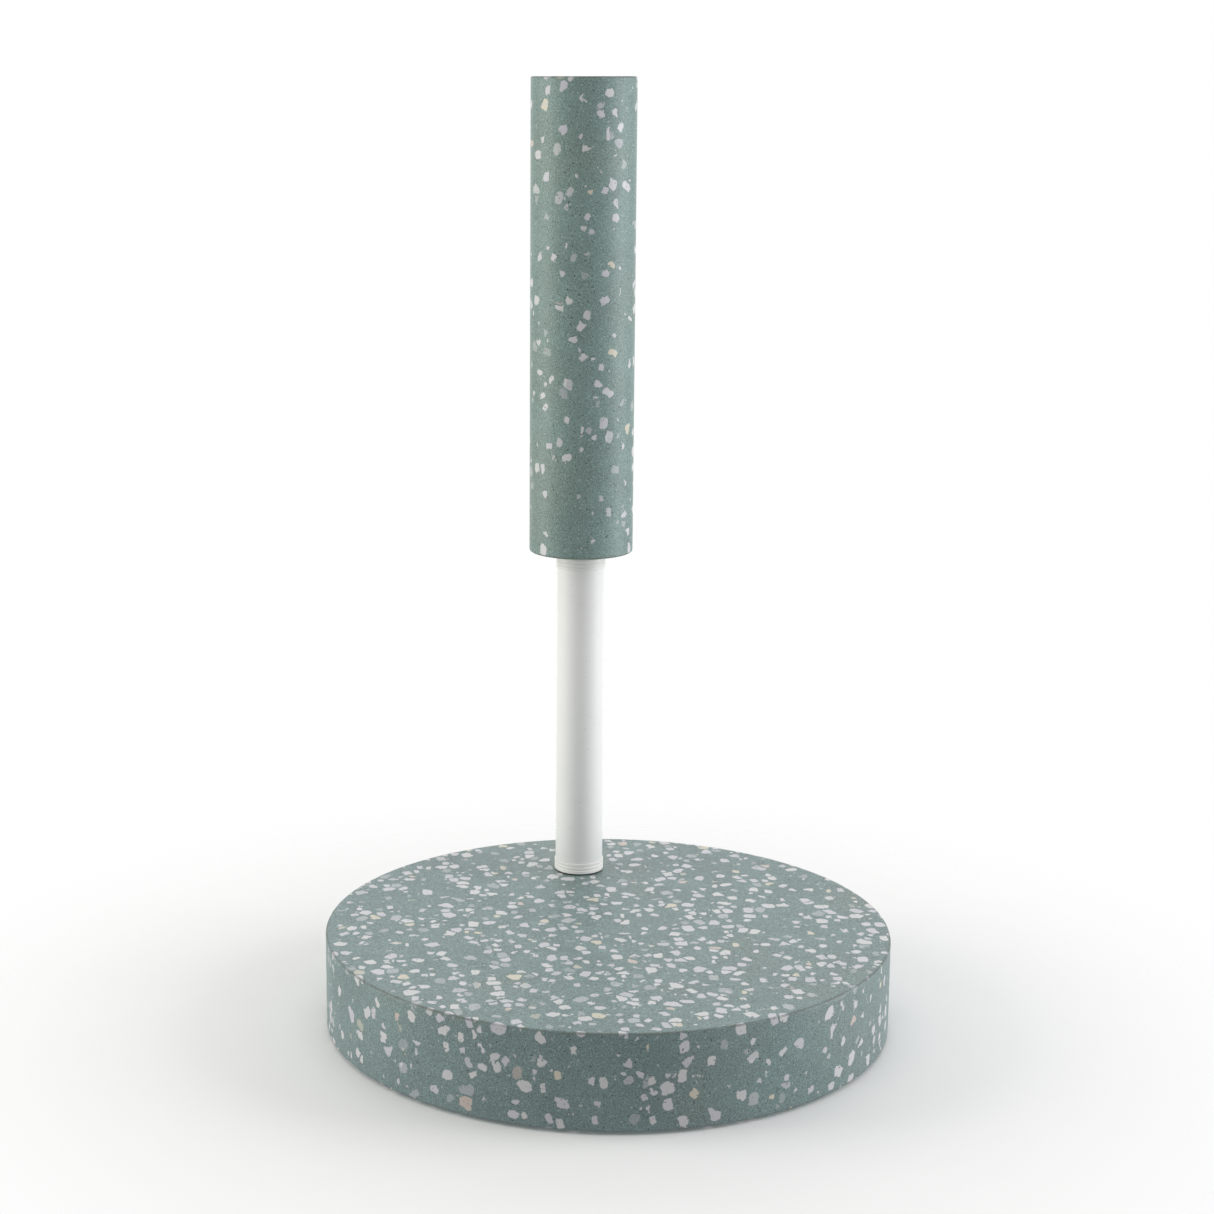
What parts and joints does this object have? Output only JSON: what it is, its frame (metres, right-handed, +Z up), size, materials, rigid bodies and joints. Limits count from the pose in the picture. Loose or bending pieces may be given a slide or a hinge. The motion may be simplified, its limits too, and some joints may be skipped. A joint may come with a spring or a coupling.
{
  "type": "paper towel holder",
  "caption": "Countertop paper towel holder: a heavy round terrazzo base with an off-centre white post and a terrazzo column that turns on it to carry the roll.",
  "frame": {"origin": "centre of the base's footprint, on the face that it stands on", "axes": "+Z up along the post and the column; +Y from the base's centre towards the post; +X to the right, seen from the side away from the post"},
  "size_m": [0.18, 0.18, 0.298],
  "materials": {
    "terrazzo": "honed sage-green cement terrazzo with white, lavender-grey and cream chips",
    "stem_white": "satin white powder coat",
    "plug_white": "satin white moulded plastic",
    "cap_white": "satin white moulded plastic",
    "liner_plastic": "plain grey moulded plastic",
    "bearing_plastic": "natural acetal",
    "zinc_steel": "bright zinc plate",
    "spindle_steel": "turned and polished",
    "pad_rubber": "matt fine-celled foam rubber",
    "gasket_rubber": "matt black fibre and rubber"
  },
  "bodies": {
    "stand": {"base_disc": "terrazzo", "base_liner": "liner_plastic", "non_slip_pad": "pad_rubber", "tie_rod": "zinc_steel", "base_nut": "zinc_steel", "base_spring_washer": "zinc_steel", "base_washer": "zinc_steel", "foot_gasket": "gasket_rubber", "lower_plug": "plug_white", "stem_tube": "stem_white", "upper_plug": "plug_white", "spindle": "spindle_steel", "thrust_washer": "bearing_plastic", "top_washer": "zinc_steel", "lock_nut": "zinc_steel", "lock_nut_ring": "bearing_plastic"},
    "turning_column": {"column": "terrazzo", "column_liner": "liner_plastic", "lower_bush": "bearing_plastic", "upper_bush": "bearing_plastic", "top_cap": "cap_white"}
  },
  "joints": [
    {"name": "column_spin", "type": "hinge", "parent": "stand", "child": "turning_column", "pos_m": [0, 0.0575, 0.1425], "axis": [0, 0, 1], "continuous": true}
  ]
}
